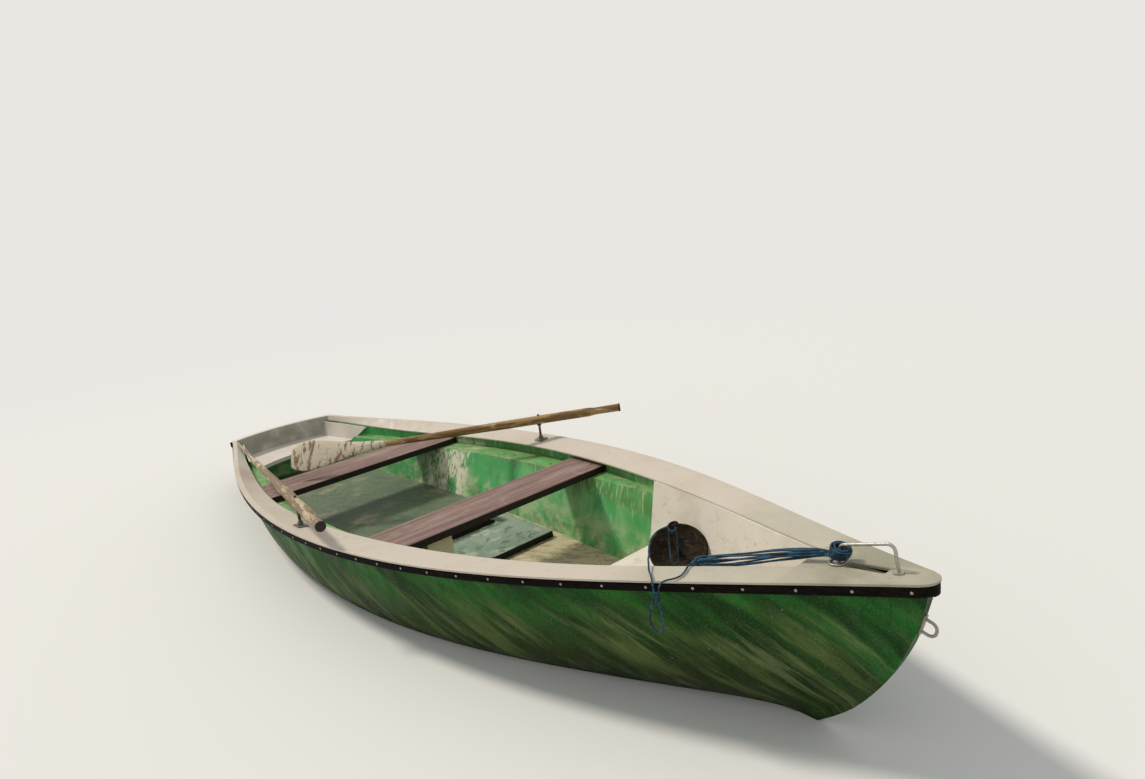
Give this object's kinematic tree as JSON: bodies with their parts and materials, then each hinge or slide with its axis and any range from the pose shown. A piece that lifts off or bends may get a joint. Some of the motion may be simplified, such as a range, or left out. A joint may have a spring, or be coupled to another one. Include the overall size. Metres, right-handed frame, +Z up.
{
  "type": "rowing boat",
  "caption": "Open moulded rowing boat with a raked curved stern, bow well, plank seats, pin-mounted oars and a mushroom anchor on a rope.",
  "frame": {"origin": "on the centreline at the waterline, abreast of the gunwale's two stern corners", "axes": "+X to the bow, +Y to port, +Z up"},
  "size_m": [4.3517, 1.6857, 0.7518],
  "materials": {
    "green_gelcoat": "weathered dark green gelcoat, streaked and scratched",
    "inner_gelcoat": "faded bright green gelcoat with algae and a dirty pale floor",
    "cream_gelcoat": "chalky cream gelcoat with dirt spots",
    "panel_board": "worn grey-green painted board",
    "thwart_wood": "weathered red-brown plank",
    "rail_strip": "dark brown strip held by pale screws",
    "handle_tube": "dull pale sleeve",
    "plated_steel": "dull galvanised steel",
    "dark_steel": "dark worn steel",
    "oar_wood": "peeling golden brown varnish",
    "blade_wood": "pale flaking paint over wood",
    "oar_cap": "black end cap",
    "rusty_iron": "dark iron with brown rust",
    "blue_rope": "laid blue synthetic rope"
  },
  "bodies": {
    "hull": {"hull_shell": "green_gelcoat", "cockpit_liner": "inner_gelcoat", "gunwale_starboard": "cream_gelcoat", "gunwale_port": "cream_gelcoat", "foredeck": "cream_gelcoat", "stern_moulding": "cream_gelcoat", "bow_well": "cream_gelcoat", "thwart_box": "cream_gelcoat", "floor_panel": "panel_board", "thwart_aft": "thwart_wood", "thwart_mid": "thwart_wood", "rub_rail_starboard": "rail_strip", "rub_rail_port": "rail_strip", "rub_rail_stern": "rail_strip", "rub_rail_bow": "rail_strip", "bow_handle": "handle_tube", "bow_eye": "plated_steel", "mooring_ring": "plated_steel", "rowlock_plate_starboard": "dark_steel", "rowlock_plate_port": "dark_steel", "rowlock_pin_starboard": "dark_steel", "rowlock_pin_port": "dark_steel", "anchor_bowl": "rusty_iron", "anchor_shank": "rusty_iron", "rope_lead": "blue_rope", "rope_hank": "blue_rope", "rope_ball": "blue_rope", "rope_tail": "blue_rope"},
    "oar_port": {"oar_loom_port": "oar_wood", "oar_blade_port": "blade_wood", "oar_cap_port": "oar_cap"},
    "oar_starboard": {"oar_loom_starboard": "oar_wood", "oar_blade_starboard": "blade_wood", "oar_cap_starboard": "oar_cap"}
  },
  "joints": [
    {"name": "port_oar_swing", "type": "hinge", "parent": "hull", "child": "oar_port", "pos_m": [1.84, 0.64, 0.41155], "axis": [0, 0, 1], "range_deg": [-176, 0]},
    {"name": "starboard_oar_swing", "type": "hinge", "parent": "hull", "child": "oar_starboard", "pos_m": [1.84, -0.64, 0.41155], "axis": [0, 0, 1], "range_deg": [0, 138]}
  ]
}
